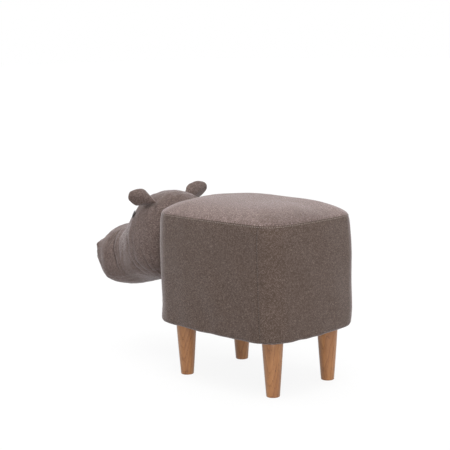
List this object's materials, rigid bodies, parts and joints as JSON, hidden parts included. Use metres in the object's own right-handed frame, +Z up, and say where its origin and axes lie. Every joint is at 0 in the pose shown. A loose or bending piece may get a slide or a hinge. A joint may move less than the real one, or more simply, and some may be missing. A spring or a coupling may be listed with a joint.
{
  "type": "animal footstool",
  "caption": "Upholstered footstool shaped like a hippo: padded box seat with a crowned top on turned tapered wood legs, a stuffed head with leaf ears and button eyes at one end.",
  "frame": {"origin": "on the floor, below the middle of the whole length", "axes": "+Z up, -Y towards the nose, +X towards the hippo's left flank"},
  "size_m": [0.2766, 0.6084, 0.3821],
  "materials": {
    "cover_fabric": "taupe plain-weave upholstery cloth",
    "seat_fabric": "taupe plain-weave upholstery cloth",
    "dust_cloth": "thin black non-woven cloth",
    "foam": "open-cell upholstery foam",
    "filling": "white polyester fibre filling",
    "plywood": "raw plywood",
    "pine": "planed pine",
    "hardboard": "thin brown hardboard",
    "leg_wood": "turned hardwood with a satin honey-brown lacquer",
    "steel": "zinc-plated steel",
    "eye_black": "glossy black plastic",
    "washer_plastic": "plain black plastic"
  },
  "bodies": {
    "root": {"base_board": "plywood", "seat_board": "plywood", "neck_board": "plywood", "post_front_left": "pine", "post_front_right": "pine", "post_rear_left": "pine", "post_rear_right": "pine", "head_rail": "pine", "side_wrap": "hardboard", "flank_foam_left": "foam", "flank_foam_right": "foam", "front_foam": "foam", "rear_foam": "foam", "seat_foam": "foam", "head_filling": "filling", "seat_cover": "seat_fabric", "flank_panel_left": "cover_fabric", "flank_panel_right": "cover_fabric", "front_panel": "cover_fabric", "rear_panel": "cover_fabric", "head_cover": "cover_fabric", "muzzle_panel": "cover_fabric", "ear_left": "cover_fabric", "ear_right": "cover_fabric", "dust_cover": "dust_cloth", "leg_front_left": "leg_wood", "leg_front_right": "leg_wood", "leg_rear_left": "leg_wood", "leg_rear_right": "leg_wood", "leg_bolt_front_left": "steel", "leg_bolt_front_right": "steel", "leg_bolt_rear_left": "steel", "leg_bolt_rear_right": "steel", "leg_insert_front_left": "steel", "leg_insert_front_right": "steel", "leg_insert_rear_left": "steel", "leg_insert_rear_right": "steel", "head_bolt_left": "steel", "head_bolt_right": "steel", "head_nut_left": "steel", "head_nut_right": "steel", "eye_left": "eye_black", "eye_right": "eye_black", "eye_washer_left": "washer_plastic", "eye_washer_right": "washer_plastic"}
  },
  "joints": []
}
